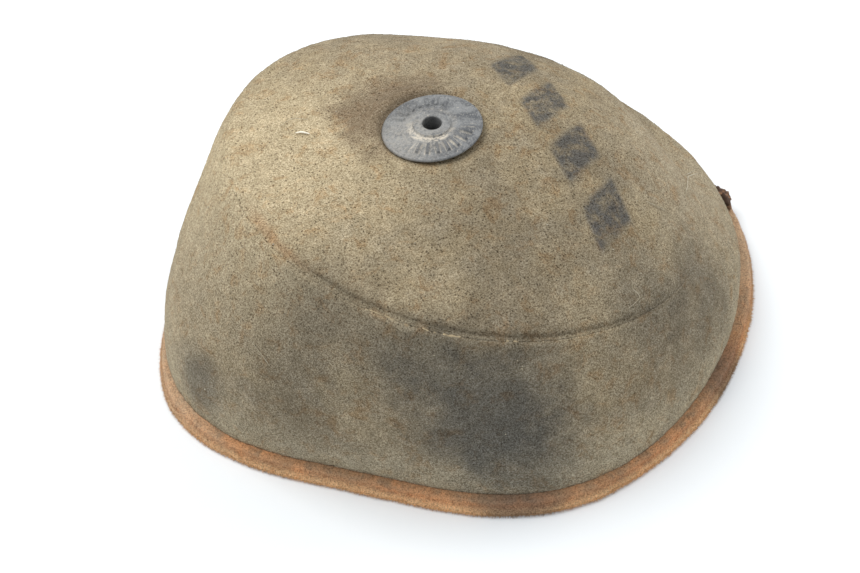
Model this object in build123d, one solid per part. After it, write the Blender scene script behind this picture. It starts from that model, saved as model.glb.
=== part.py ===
from build123d import *
import math
import os

# Two-stage foam air filter of an off-road motorcycle, pushed over its support cage.
#
# A coarse outer foam is laminated on a fine inner foam. The wall is one strip, glued end to end at
# the back, and the crown is glued on it along the shoulder. A dense foam rim under the wall seals on
# the airbox. Two plastic washers grip the crown where one M6 bolt holds the filter and the cage down.
#
# Frame: origin in the middle of the rim's outline, on the sealing plane. +Z points out of the airbox,
# +X runs along the mirror plane from the tall end to the low end. All sizes are in millimetres.

# --- driving dimensions -------------------------------------------------------------------------
COARSE = 8.0                # outer foam layer
FINE = 6.0                  # inner foam layer
FOAM = COARSE + FINE
RIM_THICK = 6.5             # sealing rim, under the wall
RIM_PROUD = 4.5             # how far the rim stands out past the wall
RIM_ROUND = 2.2             # rounding of the rim's outer top edge
GLUE = 0.6                  # glue line between two foam pieces

# Plan outlines are radii in cosine series about a point on the mirror plane.
BASE_SERIES = (99.7, 11.8, 5.3, -3.2, 4.0)
SHOULDER_SERIES = (82.7, 11.0, 0.7, 0.6)
SWELL_SERIES = (4.4, -0.7, 2.5)         # how far the wall swells at half its height
DOME_SERIES = (2.3, 0.8)                # the crown's exponent: 2 is a parabola, more is fuller
BOLT_TO_BASE_CENTRE = -2.2              # from the bolt's axis to the base outline's point
BOLT_TO_SHOULDER_CENTRE = 2.3

SHOULDER_Z = 63.5           # height of the sloping shoulder plane on the bolt's axis
SHOULDER_SLOPE = -0.29      # rise of that plane per millimetre of X
SEAT_Z = 86.5               # washer's seat on the crown
SEAT_R = 18.5

WASHER_R = 17.0
WASHER_EDGE = 1.4           # thickness at the outer edge
WASHER_RISE = 2.9           # from the seat to the flat round the hole
WASHER_FLAT_R = 6.4
SLEEVE_R = 5.25             # washer's sleeve through the foam
BOLT_HOLE_R = 3.2           # M6 clearance
MARK_COUNT = 7              # raised strokes in each of two arcs on the washer
MARK_STEP = 15.0            # degrees
INNER_WASHER_R = 15.0
INNER_WASHER_THICK = 2.0

CAGE_GAP = 0.8              # foam to cage
CAGE_WALL = 3.0
CAGE_RING_WIDE = 8.0
CAGE_RING_THICK = 5.0
CAGE_HOOP_WIDE = 3.5
CAGE_RIB_WIDE = 3.2
CAGE_WALL_RIBS = 24
CAGE_CROWN_RIBS = 12
LOW_HOOP, HIGH_HOOP = 0.37, 0.68    # heights of the inner hoops, as shares of the cage's shoulder
HOOP_GROOVE = 0.4           # how deep the ribs sit in the hoops behind them
CROWN_RING_R = 37.0
CROWN_RING_TOP = 64.4
BOSS_R = 12.0
BOSS_LOW_Z = 60.0
COLLAR_R = 5.0
WASHER_CLEAR = 0.2          # cage boss to inner washer

OUTLINE_POINTS = 24
FLOOR_CUT = -10.0           # where the raw lofts start, below the floor
BIG = 400.0


# --- shape functions ----------------------------------------------------------------------------
def series(terms, angle):
    return sum(term * math.cos(k * angle) for k, term in enumerate(terms))


BASE_X = (series(BASE_SERIES, math.pi) - series(BASE_SERIES, 0)) / 2
BOLT_X = BASE_X - BOLT_TO_BASE_CENTRE
SHOULDER_X = BOLT_X + BOLT_TO_SHOULDER_CENTRE
BOLT = Location((BOLT_X, 0, 0))


def around():
    return [2 * math.pi * i / OUTLINE_POINTS for i in range(OUTLINE_POINTS)]


def base_point(angle, inset):
    r = series(BASE_SERIES, angle) - inset
    return BASE_X + r * math.cos(angle), r * math.sin(angle)


def shoulder_point(angle, inset):
    r = series(SHOULDER_SERIES, angle) - inset
    x = SHOULDER_X + r * math.cos(angle)
    return x, r * math.sin(angle), SHOULDER_Z - inset + SHOULDER_SLOPE * (x - BOLT_X)


def wall_point(angle, share, inset):
    """Share runs from 0 at the rim to 1 at the shoulder."""
    bx, by = base_point(angle, inset)
    sx, sy, sz = shoulder_point(angle, inset)
    swell = series(SWELL_SERIES, angle) * 4 * share * (1 - share)
    x = bx + (sx - bx) * share + swell * math.cos(angle)
    y = by + (sy - by) * share + swell * math.sin(angle)
    return x, y, RIM_THICK + (sz - RIM_THICK) * share


def crown_point(angle, share, inset):
    """Share runs from 1 at the shoulder to 0 on the bolt's axis."""
    sx, sy, sz = shoulder_point(angle, inset)
    power = series(DOME_SERIES, angle)
    z = sz + (SEAT_Z - inset - sz) * (1 - share**power)
    return BOLT_X + (sx - BOLT_X) * share, sy * share, z


def closed(points):
    """A closed smooth curve. All of them share one spacing, which keeps the lofts light."""
    spacing = [i / len(points) for i in range(len(points) + 1)]
    return Wire([Edge.make_spline([Vector(*p) for p in points], periodic=True, parameters=spacing)])


def seat_circle(inset):
    """The flat seat, drawn as the other sections are, so that all of them start at the same angle."""
    return closed([
        (BOLT_X + SEAT_R * math.cos(a), SEAT_R * math.sin(a), SEAT_Z - inset) for a in around()
    ])


def full_body(inset):
    """The filter's outer form, taken in by inset, solid, from below the floor to the washer's seat."""
    def level(z):
        return closed([(*base_point(a, inset), z) for a in around()])

    sections = [level(FLOOR_CUT), level(0)]
    sections += [closed([wall_point(a, s, inset) for a in around()]) for s in (0.15, 0.45, 0.75, 0.93)]
    sections += [closed([crown_point(a, s, inset) for a in around()]) for s in (0.95, 0.8, 0.6, 0.4)]
    sections.append(seat_circle(inset))
    return Solid.make_loft(sections)


def shoulder_plane(lower=0.0):
    """The plane of the glued shoulder joint, or one that much lower."""
    return Plane(origin=(BOLT_X, 0, SHOULDER_Z - lower), z_dir=Vector(-SHOULDER_SLOPE, 0, 1))


def above(part, plane):
    return split(part, bisect_by=plane, keep=Keep.TOP)


def below(part, plane):
    return split(part, bisect_by=plane, keep=Keep.BOTTOM)


def between(part, low, high):
    return below(above(part, low), high)


def level_plane(z):
    return Plane(origin=(0, 0, z))


def cylinder_between(radius, low, high):
    """A cylinder on the bolt's axis."""
    return BOLT * Pos(0, 0, (low + high) / 2) * Cylinder(radius, high - low)


def plan_prism(inset, low, high):
    """The base outline, taken in by inset, as an upright solid."""
    face = Face(closed([(*base_point(a, inset), low) for a in around()]))
    return Solid.extrude(face, Vector(0, 0, high - low))


# --- foam element -------------------------------------------------------------------------------
WALL_LOW = level_plane(RIM_THICK + GLUE)
WALL_HIGH = shoulder_plane()
CROWN_LOW = shoulder_plane(lower=-GLUE)

body_outside = full_body(0)
body_middle = full_body(COARSE)
body_inside = full_body(FOAM)
coarse_shell = body_outside - body_middle
fine_shell = body_middle - body_inside
foam_shell = body_outside - body_inside


def end_joint():
    """The slab that the wall strip's glued ends take up, at the back, over the bolt's axis."""
    return Pos(BOLT_X, BIG / 4, 0) * Box(GLUE, BIG / 2, BIG)


def foam_wall(shell):
    return between(shell, WALL_LOW, WALL_HIGH) - end_joint()


def foam_crown(shell, hole_r):
    return above(shell, CROWN_LOW) - cylinder_between(hole_r, 0, BIG / 2)


def inner_washer_pocket():
    low = SEAT_Z - FOAM
    return cylinder_between(INNER_WASHER_R, low - 1, low + INNER_WASHER_THICK)


def sealing_rim():
    outer = plan_prism(-RIM_PROUD, 0, RIM_THICK)
    rim = outer - plan_prism(FOAM, -1, RIM_THICK + 1)
    top_edges = rim.edges().filter_by_position(Axis.Z, RIM_THICK, RIM_THICK)
    return fillet(top_edges.sort_by(SortBy.LENGTH)[-1], RIM_ROUND)


def rim_glue_seam():
    ring = plan_prism(1.0, RIM_THICK, RIM_THICK + GLUE)
    return ring - plan_prism(FOAM - 1.0, RIM_THICK - 1, RIM_THICK + 1)


def crown_glue_seam():
    return between(foam_shell, WALL_HIGH, CROWN_LOW)


def wall_end_glue_seam():
    return between(foam_shell, WALL_LOW, WALL_HIGH) & end_joint()


# --- washers ------------------------------------------------------------------------------------
def washer_marks():
    """Two arcs of plain raised strokes, where such washers carry moulding."""
    slope = math.degrees(math.atan((WASHER_RISE - WASHER_EDGE) / (WASHER_R - WASHER_FLAT_R)))
    middle_r = (WASHER_R + WASHER_FLAT_R) / 2 + 1.0
    middle_z = SEAT_Z + (WASHER_RISE + WASHER_EDGE) / 2
    stroke = Pos(middle_r, 0, middle_z) * Rot(0, slope, 0) * Box(4.6, 0.9, 0.8)
    first = -MARK_STEP * (MARK_COUNT - 1) / 2
    turns = [side + first + MARK_STEP * i for side in (90, 270) for i in range(MARK_COUNT)]
    return [BOLT * Rot(0, 0, turn) * stroke for turn in turns]


def outer_washer():
    sleeve_low = SEAT_Z - FOAM
    profile = Polyline(
        (BOLT_HOLE_R, sleeve_low), (SLEEVE_R, sleeve_low), (SLEEVE_R, SEAT_Z), (WASHER_R - 0.5, SEAT_Z),
        (WASHER_R, SEAT_Z + 0.5), (WASHER_R, SEAT_Z + WASHER_EDGE - 0.4),
        (WASHER_R - 0.5, SEAT_Z + WASHER_EDGE), (WASHER_FLAT_R + 0.9, SEAT_Z + WASHER_RISE - 0.5),
        (WASHER_FLAT_R, SEAT_Z + WASHER_RISE), (BOLT_HOLE_R, SEAT_Z + WASHER_RISE), close=True,
    )
    turned = revolve(Plane.XZ * make_face(profile), Axis.Z, 360)
    washer = BOLT * turned
    for mark in washer_marks():
        washer += mark
    return washer


def inner_washer():
    low = SEAT_Z - FOAM
    return cylinder_between(INNER_WASHER_R, low, low + INNER_WASHER_THICK) - cylinder_between(
        SLEEVE_R, low - 1, low + INNER_WASHER_THICK + 1)


# --- support cage -------------------------------------------------------------------------------
CAGE_OUT = FOAM + CAGE_GAP
CAGE_IN = CAGE_OUT + CAGE_WALL
HOOP_IN = CAGE_IN + CAGE_WALL
BOSS_TOP_Z = SEAT_Z - FOAM - WASHER_CLEAR

cage_shell = full_body(CAGE_OUT) - full_body(CAGE_IN)

RING_TOP = level_plane(CAGE_RING_THICK)
SHOULDER_HOOP_LOW = shoulder_plane(lower=CAGE_OUT + CAGE_HOOP_WIDE)
SHOULDER_HOOP_HIGH = shoulder_plane(lower=CAGE_OUT - 1.0)


def rib(outer, inner):
    """An upright flat rib between two lines of points that lie in one upright plane."""
    along = Vector(outer[0][0] - outer[-1][0], outer[0][1] - outer[-1][1], 0).normalized()
    plane = Plane(origin=outer[-1], x_dir=along, z_dir=along.cross(Vector(0, 0, 1)))
    flat = [[plane.to_local_coords(Vector(*p)) for p in line] for line in (outer, inner)]
    flat = [[(p.X, p.Y) for p in line] for line in flat]
    outline = Spline(*flat[0]) + Line(flat[0][-1], flat[1][-1])
    outline += Spline(*flat[1]) + Line(flat[0][0], flat[1][0])
    return extrude(plane * make_face(outline), amount=CAGE_RIB_WIDE / 2, both=True)


def cage_base_ring():
    return plan_prism(CAGE_OUT, 0, CAGE_RING_THICK) - plan_prism(
        CAGE_OUT + CAGE_RING_WIDE, -1, CAGE_RING_THICK + 1)


def cage_wall_ribs():
    ribs = []
    for i in range(CAGE_WALL_RIBS):
        angle = 2 * math.pi * (i + 0.5) / CAGE_WALL_RIBS
        lines = [[wall_point(angle, s / 5, inset) for s in range(-1, 6)] for inset in (CAGE_OUT, CAGE_IN)]
        ribs.append(between(rib(*lines), RING_TOP, SHOULDER_HOOP_LOW))
    return ribs


def cage_shoulder_hoop():
    return between(cage_shell, SHOULDER_HOOP_LOW, SHOULDER_HOOP_HIGH)


def wall_on_plane(angle, inset, height, slope):
    """The wall's point that lies on a plane of that height on the bolt's axis and that slope along X."""
    low, high = -0.5, 1.0
    for _ in range(50):
        middle = (low + high) / 2
        x, _, z = wall_point(angle, middle, inset)
        if z < height + slope * (x - BOLT_X):
            low = middle
        else:
            high = middle
    return wall_point(angle, low, inset)


def inner_hoop(share):
    """A hoop behind the wall ribs, at a share of the cage's height all the way round."""
    middle = (SHOULDER_Z - CAGE_OUT) * share
    slope = SHOULDER_SLOPE * share

    def core(inset, reach):
        heights = (middle - reach, middle + reach)
        return Solid.make_loft(
            [closed([wall_on_plane(a, inset, z, slope) for a in around()]) for z in heights], ruled=True)

    half = CAGE_HOOP_WIDE / 2
    return core(CAGE_IN - HOOP_GROOVE, half) - core(HOOP_IN, half + 1) - wall_ribs


def cage_crown_ring():
    low = CROWN_RING_TOP - CAGE_HOOP_WIDE
    disc = cylinder_between(CROWN_RING_R + CAGE_HOOP_WIDE / 2, low, CROWN_RING_TOP)
    hole = cylinder_between(CROWN_RING_R - CAGE_HOOP_WIDE / 2, low - 1, CROWN_RING_TOP + 1)
    return disc - hole - crown_ribs


def cage_crown_ribs():
    ribs = []
    for i in range(CAGE_CROWN_RIBS):
        angle = 2 * math.pi * (i + 0.5) / CAGE_CROWN_RIBS
        lines = [[crown_point(angle, s / 8, inset) for s in range(9, 0, -1)] for inset in (CAGE_OUT, CAGE_IN)]
        crown_rib = above(rib(*lines), SHOULDER_HOOP_HIGH)
        ribs.append(crown_rib - cylinder_between(BOSS_R, 0, BIG / 2))
    return ribs


def cage_boss():
    return cylinder_between(BOSS_R, BOSS_LOW_Z, BOSS_TOP_Z) - cylinder_between(
        COLLAR_R, BOSS_LOW_Z - 1, BOSS_TOP_Z + 1)


def bolt_collar():
    return cylinder_between(COLLAR_R, BOSS_LOW_Z, BOSS_TOP_Z) - cylinder_between(
        BOLT_HOLE_R, BOSS_LOW_Z - 1, BOSS_TOP_Z + 1)


wall_ribs = cage_wall_ribs()
crown_ribs = cage_crown_ribs()

# --- nodes --------------------------------------------------------------------------------------
NODES = {
    "outer_foam_wall": foam_wall(coarse_shell),
    "outer_foam_crown": foam_crown(coarse_shell, SLEEVE_R),
    "inner_foam_wall": foam_wall(fine_shell),
    "inner_foam_crown": foam_crown(fine_shell, SLEEVE_R) - inner_washer_pocket(),
    "sealing_rim": sealing_rim(),
    "rim_glue_seam": rim_glue_seam(),
    "crown_glue_seam": crown_glue_seam(),
    "wall_end_glue_seam": wall_end_glue_seam(),
    "outer_washer": outer_washer(),
    "inner_washer": inner_washer(),
    "cage_base_ring": cage_base_ring(),
    "cage_wall_ribs": wall_ribs,
    "cage_shoulder_hoop": cage_shoulder_hoop(),
    "cage_low_hoop": inner_hoop(LOW_HOOP),
    "cage_high_hoop": inner_hoop(HIGH_HOOP),
    "cage_crown_ribs": crown_ribs,
    "cage_crown_ring": cage_crown_ring(),
    "cage_boss": cage_boss(),
    "bolt_collar": bolt_collar(),
}

os.makedirs("parts", exist_ok=True)
for name, shape in NODES.items():
    parts = shape if isinstance(shape, list) else [shape]
    solids = [solid for part in parts for solid in part.solids()]
    whole = solids[0] if len(solids) == 1 else Compound(children=solids)
    export_step(whole, f"parts/{name}.step")
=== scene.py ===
"""The looks of a used two-stage foam air filter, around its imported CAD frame.

Lengths are in millimetres in the CAD frame until add_mesh turns them into metres. The foam is a grid
of points: its rows climb the wall and cross the crown, and its columns run round the filter.
"""
import math

import bpy
import numpy as np
from mathutils import Matrix


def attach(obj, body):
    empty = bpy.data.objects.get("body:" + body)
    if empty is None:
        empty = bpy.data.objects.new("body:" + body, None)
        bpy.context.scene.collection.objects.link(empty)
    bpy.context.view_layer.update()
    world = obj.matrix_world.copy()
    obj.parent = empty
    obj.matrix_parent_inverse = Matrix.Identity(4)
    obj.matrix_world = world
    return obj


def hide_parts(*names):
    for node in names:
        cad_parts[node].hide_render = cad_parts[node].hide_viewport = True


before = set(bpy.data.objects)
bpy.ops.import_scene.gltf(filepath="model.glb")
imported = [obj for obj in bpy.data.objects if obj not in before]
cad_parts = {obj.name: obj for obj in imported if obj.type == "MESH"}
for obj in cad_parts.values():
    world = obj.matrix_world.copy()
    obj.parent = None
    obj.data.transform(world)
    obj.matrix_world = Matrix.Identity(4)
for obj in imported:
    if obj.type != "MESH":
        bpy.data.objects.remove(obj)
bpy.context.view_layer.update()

MM = 0.001
rng = np.random.default_rng(11)

# --- the filter's form, in millimetres, as in the CAD model ---------------------------------------
COARSE, FINE = 8.0, 6.0
FOAM = COARSE + FINE
RIM_THICK, RIM_PROUD, RIM_ROUND = 6.5, 4.5, 1.5     # the round is worn, so less than the CAD's
BASE_SERIES = (99.7, 11.8, 5.3, -3.2, 4.0)
SHOULDER_SERIES = (82.7, 11.0, 0.7, 0.6)
SWELL_SERIES = (4.4, -0.7, 2.5)
DOME_SERIES = (2.3, 0.8)
SHOULDER_Z, SHOULDER_SLOPE = 63.5, -0.29
SEAT_Z, SEAT_R = 86.5, 18.5
WASHER_R, SLEEVE_R, BOLT_HOLE_R = 17.0, 5.25, 3.2
STROKE_COUNT, STROKE_STEP = 7, math.radians(15)
STROKE_FROM, STROKE_TO, STROKE_RISE = 9.8, 14.4, 0.85
WASHER_TILT = (-0.044, 0.045)       # how far the washer leans towards the back left
FOAM_BODY = "foam_element"
OUTER_GAP, INNER_GAP = 0.02, 0.05   # keep the foams' glued faces apart
HOLE_GAP = 0.15                     # between the foam and the washer's sleeve
POCKET_R, POCKET_EDGE_R, POCKET_DEPTH = 15.0, 15.8, 2.0     # the inner washer's pocket
TEAR_ANGLE = -0.018                 # where round the rim the torn tag sits, in radians


def series(terms, angle):
    """A cosine series, the form of every plan outline."""
    return sum(term * np.cos(k * angle) for k, term in enumerate(terms))


BASE_X = (series(BASE_SERIES, math.pi) - series(BASE_SERIES, 0)) / 2
BOLT_X = BASE_X + 2.2
SHOULDER_X = BOLT_X + 2.3


def base_points(angle, inset):
    """The wall's foot in plan, that far inside its outer face."""
    r = series(BASE_SERIES, angle) - inset
    return BASE_X + r * np.cos(angle), r * np.sin(angle)


def shoulder_points(angle, inset):
    """The sloping edge between wall and crown."""
    r = series(SHOULDER_SERIES, angle) - inset
    x = SHOULDER_X + r * np.cos(angle)
    return x, r * np.sin(angle), SHOULDER_Z - inset + SHOULDER_SLOPE * (x - BOLT_X)


def wall_points(angle, share, inset):
    """The bellied wall: share is 0 at its foot and 1 at the shoulder."""
    bx, by = base_points(angle, inset)
    sx, sy, sz = shoulder_points(angle, inset)
    swell = series(SWELL_SERIES, angle) * 4 * share * (1 - share)
    x = bx + (sx - bx) * share + swell * np.cos(angle)
    y = by + (sy - by) * share + swell * np.sin(angle)
    return np.stack([x, y, RIM_THICK + (sz - RIM_THICK) * share], -1)


def crown_points(angle, share, inset):
    """The domed crown: share is 1 at the shoulder and 0 on the bolt's axis."""
    sx, sy, sz = shoulder_points(angle, inset)
    z = sz + (SEAT_Z - inset - sz) * (1 - share ** series(DOME_SERIES, angle))
    return np.stack([BOLT_X + (sx - BOLT_X) * share, sy * share, z], -1)


def smooth(low, high, value):
    """0 below low, 1 above high, and a soft step between."""
    t = np.clip((value - low) / (high - low), 0, 1)
    return t * t * (3 - 2 * t)


def noise(points, cell, seed):
    """Smooth value noise from -1 to 1 with features about one cell across."""
    table = np.random.default_rng(seed).uniform(-1, 1, 4096)
    p = points / cell
    corner = np.floor(p).astype(np.int64)
    f = p - corner
    f = f * f * (3 - 2 * f)
    total = 0
    for dx in (0, 1):
        for dy in (0, 1):
            for dz in (0, 1):
                key = (corner[..., 0] + dx) * 73856093 ^ (corner[..., 1] + dy) * 19349663
                key = (key ^ (corner[..., 2] + dz) * 83492791) & 4095
                weight = (f[..., 0] if dx else 1 - f[..., 0]) * (f[..., 1] if dy else 1 - f[..., 1])
                total = total + weight * (f[..., 2] if dz else 1 - f[..., 2]) * table[key]
    return total


def surface_normals(grid):
    """Outward normals of a grid whose second index runs round the filter."""
    across = np.gradient(grid, axis=0)
    along = np.roll(grid, -1, 1) - np.roll(grid, 1, 1)
    normal = np.cross(along, across)
    return normal / (np.linalg.norm(normal, axis=-1, keepdims=True) + 1e-9)


def add_mesh(name, vertices, faces, smooth_faces=True):
    """A piece from points in millimetres. Everything added here rides on the foam element."""
    mesh = bpy.data.meshes.new(name)
    faces = faces.tolist() if isinstance(faces, np.ndarray) else faces
    mesh.from_pydata((np.asarray(vertices).reshape(-1, 3) * MM).tolist(), [], faces)
    if smooth_faces:
        mesh.shade_smooth()
    piece = bpy.data.objects.new(name, mesh)
    bpy.context.collection.objects.link(piece)
    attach(piece, FOAM_BODY)
    return piece


def ring_mesh(name, loops):
    """A closed tube-like mesh: the last loop joins the first, and every loop runs round."""
    rows, columns = loops.shape[:2]
    i = np.arange(rows)[:, None]
    j = np.arange(columns)[None, :]
    i2, j2 = (i + 1) % rows, (j + 1) % columns
    quads = np.stack([i * columns + j, i * columns + j2, i2 * columns + j2, i2 * columns + j], -1)
    return add_mesh(name, loops, quads.reshape(-1, 4))


def tube_faces(steps, sides, first=0):
    """The side faces of a tube of loops, numbered from its first vertex."""
    faces = []
    for i in range(steps - 1):
        low, high = first + i * sides, first + (i + 1) * sides
        for j in range(sides):
            k = (j + 1) % sides
            faces.append([low + j, low + k, high + k, high + j])
    return faces


def tube_ends(steps, sides):
    """The faces that close a tube of loops, each in the order of its loop."""
    return [[row * sides + n for n in range(sides)] for row in (0, steps - 1)]


# --- the outer foam's skin ------------------------------------------------------------------------
COLUMNS = 1080
WALL_ROWS = 104
CROWN_ROWS = 132
SEAM_ROW = WALL_ROWS - 1            # the shoulder, where the crown is glued on the wall
ANGLES = np.linspace(0, 2 * math.pi, COLUMNS, endpoint=False)


def relax(grid, centre_row, reach, passes):
    """Rounds the grid across its rows near one row, as moulded foam has no sharp edge there."""
    rows = np.arange(len(grid))
    weight = (0.5 * np.exp(-(((rows - centre_row) / reach) ** 2)))[1:-1, None, None]
    for _ in range(passes):
        middle = (grid[:-2] + grid[2:]) / 2
        grid[1:-1] += weight * (middle - grid[1:-1])
    return grid


def seam_front(angle, near, far):
    """1 along the front stretch of the shoulder, 0 well away from it."""
    away = np.abs((angle - math.radians(247) + math.pi) % (2 * math.pi) - math.pi)
    return 1 - smooth(near, far, away)


def seam_strength(angle):
    """The shoulder's glue line shows best along the front and fades out towards the low end."""
    wobble = 0.12 * np.sin(5 * angle + 1.0) + 0.10 * np.sin(11 * angle)
    return np.clip(0.10 + 0.78 * seam_front(angle, 0.70, 1.20) + wobble, 0.04, 1.0)


def washer_lean(x, y):
    """How high the leaning washer stands at a place off the bolt's axis."""
    return -(WASHER_TILT[0] * x + WASHER_TILT[1] * y)


# where the used foam has sunk or swollen: centre and radius, then how far, all in millimetres
FOAM_SAGS = (
    ((90.0, 3.0, 37.0), 20.0, -3.2),
    ((105.0, -24.0, 12.0), 32.0, -2.2),
    ((-88.0, 13.0, 60.0), 22.0, -2.4),
    ((-22.0, 80.0, 66.0), 36.0, 2.5),
)
RIM_SAGS = (
    ((-110.0, 18.0, 4.0), 20.0, -1.5),
    ((28.0, -102.0, 4.0), 26.0, -1.2),
)


def sag(points, places):
    """The sum of soft dents and swellings."""
    total = 0
    for centre, radius, depth in places:
        total = total + depth * np.exp(-((points - np.array(centre)) ** 2).sum(-1) / radius**2)
    return total


def foam_relief(grid, seam_row):
    """Lumps, the seam's valley and the raw surface of cut foam."""
    normal = surface_normals(grid)
    rows = np.arange(len(grid))[:, None]
    spacing = np.linalg.norm(np.diff(grid, axis=0, append=grid[-1:]), axis=-1)
    distance = np.cumsum(spacing, axis=0)
    line = grid[seam_row]
    from_seam = distance - (distance[seam_row] + 0.45 * noise(line, 6.0, 9))[None, :]
    strength = (seam_strength(ANGLES) * (0.85 + 0.35 * noise(line, 4.0, 10)))[None, :]
    valley = -1.05 * np.exp(-(((from_seam - 1.2) / 1.1) ** 2)) - 0.3 * np.exp(-((from_seam / 5.0) ** 2))
    lip = 0.3 * np.exp(-(((from_seam + 1.5) / 1.2) ** 2))
    height = (valley + lip) * strength + sag(grid, FOAM_SAGS)
    height += 0.42 * noise(grid, 31, 1) + 0.28 * noise(grid, 12, 2) + 0.12 * noise(grid, 4.5, 3)
    height += 0.10 * noise(grid, 1.7, 4) + 0.10 * noise(grid, 0.95, 5)
    height -= 0.35 * np.exp(-distance / 1.1) * (rows < seam_row)
    return grid + normal * height[..., None]


def press_washer_in(points):
    """The foam dips under the washer, more at the back left, where its edge is sunk."""
    x, y = points[..., 0] - BOLT_X, points[..., 1]
    r = np.hypot(x, y)
    sunk = smooth(-0.2, 1.0, (-0.45 * x + 0.89 * y) / np.maximum(r, 1))
    swell = (0.9 + 1.4 * sunk) * np.exp(-(((r - 20.5) / 3.2) ** 2))
    plane = SEAT_Z - 0.35 + washer_lean(x, y)
    under = 1 - smooth(WASHER_R - 0.6, WASHER_R + 1.6, r)
    points[..., 2] += swell
    points[..., 2] = points[..., 2] * (1 - under) + np.minimum(points[..., 2], plane) * under
    return points


def skin():
    """The foam's outer surface: wall rows from the foot up, then crown rows in towards the bolt."""
    angle = ANGLES[None, :]
    outer_rows = int(CROWN_ROWS * 0.62)
    inner_rows = CROWN_ROWS - outer_rows
    crown_share = np.concatenate([
        np.linspace(1, 0.34, outer_rows), np.linspace(0.34, 0.06, inner_rows + 1)[1:],
    ])[:, None]
    wall = wall_points(angle, np.linspace(0, 1, WALL_ROWS)[:, None], 0)
    crown = crown_points(angle, crown_share, 0)
    grid = np.concatenate([wall, crown[1:]], 0)
    scale = 2.05
    return relax(grid, SEAM_ROW, 5.0 * scale, int(10 * scale * scale))


outer = press_washer_in(foam_relief(skin(), SEAM_ROW))


def hole_rows(inset_top, inset_bottom, radius):
    """Rows down the washer's sleeve hole, from the top of one layer to its underside."""
    rows = []
    for z in np.linspace(SEAT_Z - inset_top - 0.6, SEAT_Z - inset_bottom, 5):
        rows.append(np.stack([
            BOLT_X + radius * np.cos(ANGLES), radius * np.sin(ANGLES), np.full(COLUMNS, z)], -1))
    return np.stack(rows)


def layer_wall_inner(inset, rows):
    """The wall that far under the skin, from the shoulder down."""
    return wall_points(ANGLES[None, :], np.linspace(1, 0.004, rows)[:, None], inset)


def layer_crown(inset, rows):
    """The crown that far under the skin, from the shoulder in, level under the washer's seat."""
    grid = crown_points(ANGLES[None, :], np.linspace(1, 0.16, rows)[:, None], inset)
    r = np.hypot(grid[..., 0] - BOLT_X, grid[..., 1])
    flat = 1 - smooth(SEAT_R, SEAT_R + 6, r)
    grid[..., 2] = grid[..., 2] * (1 - flat) + (SEAT_Z - inset) * flat
    return grid


def build_outer_foam():
    """The coarse foam's wall and crown, each closed by its glued inner face."""
    wall_under = layer_wall_inner(COARSE + OUTER_GAP, 24)
    wall = ring_mesh("outer_foam_wall_skin", np.concatenate([outer[:WALL_ROWS], wall_under]))
    crown_outer = outer[SEAM_ROW:]
    r = np.hypot(crown_outer[..., 0] - BOLT_X, crown_outer[..., 1])
    crown_outer = crown_outer[r.min(axis=1) > SLEEVE_R + 0.6]
    hole = hole_rows(0, COARSE, SLEEVE_R + HOLE_GAP)
    crown_under = layer_crown(COARSE + OUTER_GAP, 30)[::-1]
    crown = ring_mesh("outer_foam_crown_skin", np.concatenate([crown_outer, hole, crown_under]))
    return wall, crown


def build_inner_foam():
    """The fine foam, open to the clean side. Its inner face shows its own soft lumps."""
    def inner_face(grid):
        normal = surface_normals(grid)
        height = 0.35 * noise(grid, 22, 6) + 0.12 * noise(grid, 5, 7) + 0.08 * noise(grid, 1.4, 8)
        return grid + normal * height[..., None]

    wall_share = np.linspace(0.004, 1, 20)[:, None]
    hidden = wall_points(ANGLES[None, :], wall_share, COARSE + INNER_GAP)
    rows = 80
    shown = inner_face(layer_wall_inner(FOAM, rows)[::-1])[::-1]
    wall = ring_mesh("inner_foam_wall_skin", np.concatenate([hidden, shown]))
    top = layer_crown(COARSE + INNER_GAP, 24)
    under = inner_face(layer_crown(FOAM, rows))[::-1]
    r = np.hypot(under[..., 0] - BOLT_X, under[..., 1])
    pocket = 1 - smooth(POCKET_R, POCKET_EDGE_R, r)
    pocket_z = SEAT_Z - FOAM + POCKET_DEPTH + OUTER_GAP
    under[..., 2] = under[..., 2] * (1 - pocket) + pocket_z * pocket
    loops = np.concatenate([top, hole_rows(COARSE, FOAM - POCKET_DEPTH, SLEEVE_R + HOLE_GAP), under])
    crown = ring_mesh("inner_foam_crown_skin", loops)
    return wall, crown


# --- glue lines -----------------------------------------------------------------------------------
def ribbon(name, centre, normal, across, half_width, height):
    """A low rounded bead of dried glue along a line of points."""
    rows = []
    for turn in np.linspace(-1, 1, 7):
        lift = height * (1 - turn * turn) - 0.25 * abs(turn)
        rows.append(centre + across * (half_width * turn)[:, None] + normal * lift[:, None])
    rows.append(centre - normal * 0.8)
    return ring_mesh(name, np.stack(rows))


def build_shoulder_glue():
    """The crown's glue bead, sunk and broken except along the front."""
    row = outer[SEAM_ROW]
    normal = surface_normals(outer[WALL_ROWS - 4:WALL_ROWS + 4])[4]
    across = outer[WALL_ROWS] - outer[WALL_ROWS - 2]
    across /= np.linalg.norm(across, axis=-1, keepdims=True)
    uneven = noise(row, 3.0, 21)
    front = seam_front(ANGLES, 0.35, 0.95)
    breaks = smooth(-0.30, 0.40, 0.8 * noise(row, 7.0, 22) + 0.7 * noise(row, 2.2, 25) + 1.2 * front - 0.9)
    half_width = 0.42 + 0.24 * front + 0.26 * uneven
    height = -0.50 + 0.58 * breaks + 0.22 * noise(row, 1.1, 23)
    wander = 0.1 + 0.45 * noise(row, 5.0, 26) + 0.25 * noise(row, 1.8, 27)
    return ribbon("shoulder_glue_line", row + across * wander[:, None], normal, across, half_width, height)


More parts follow.
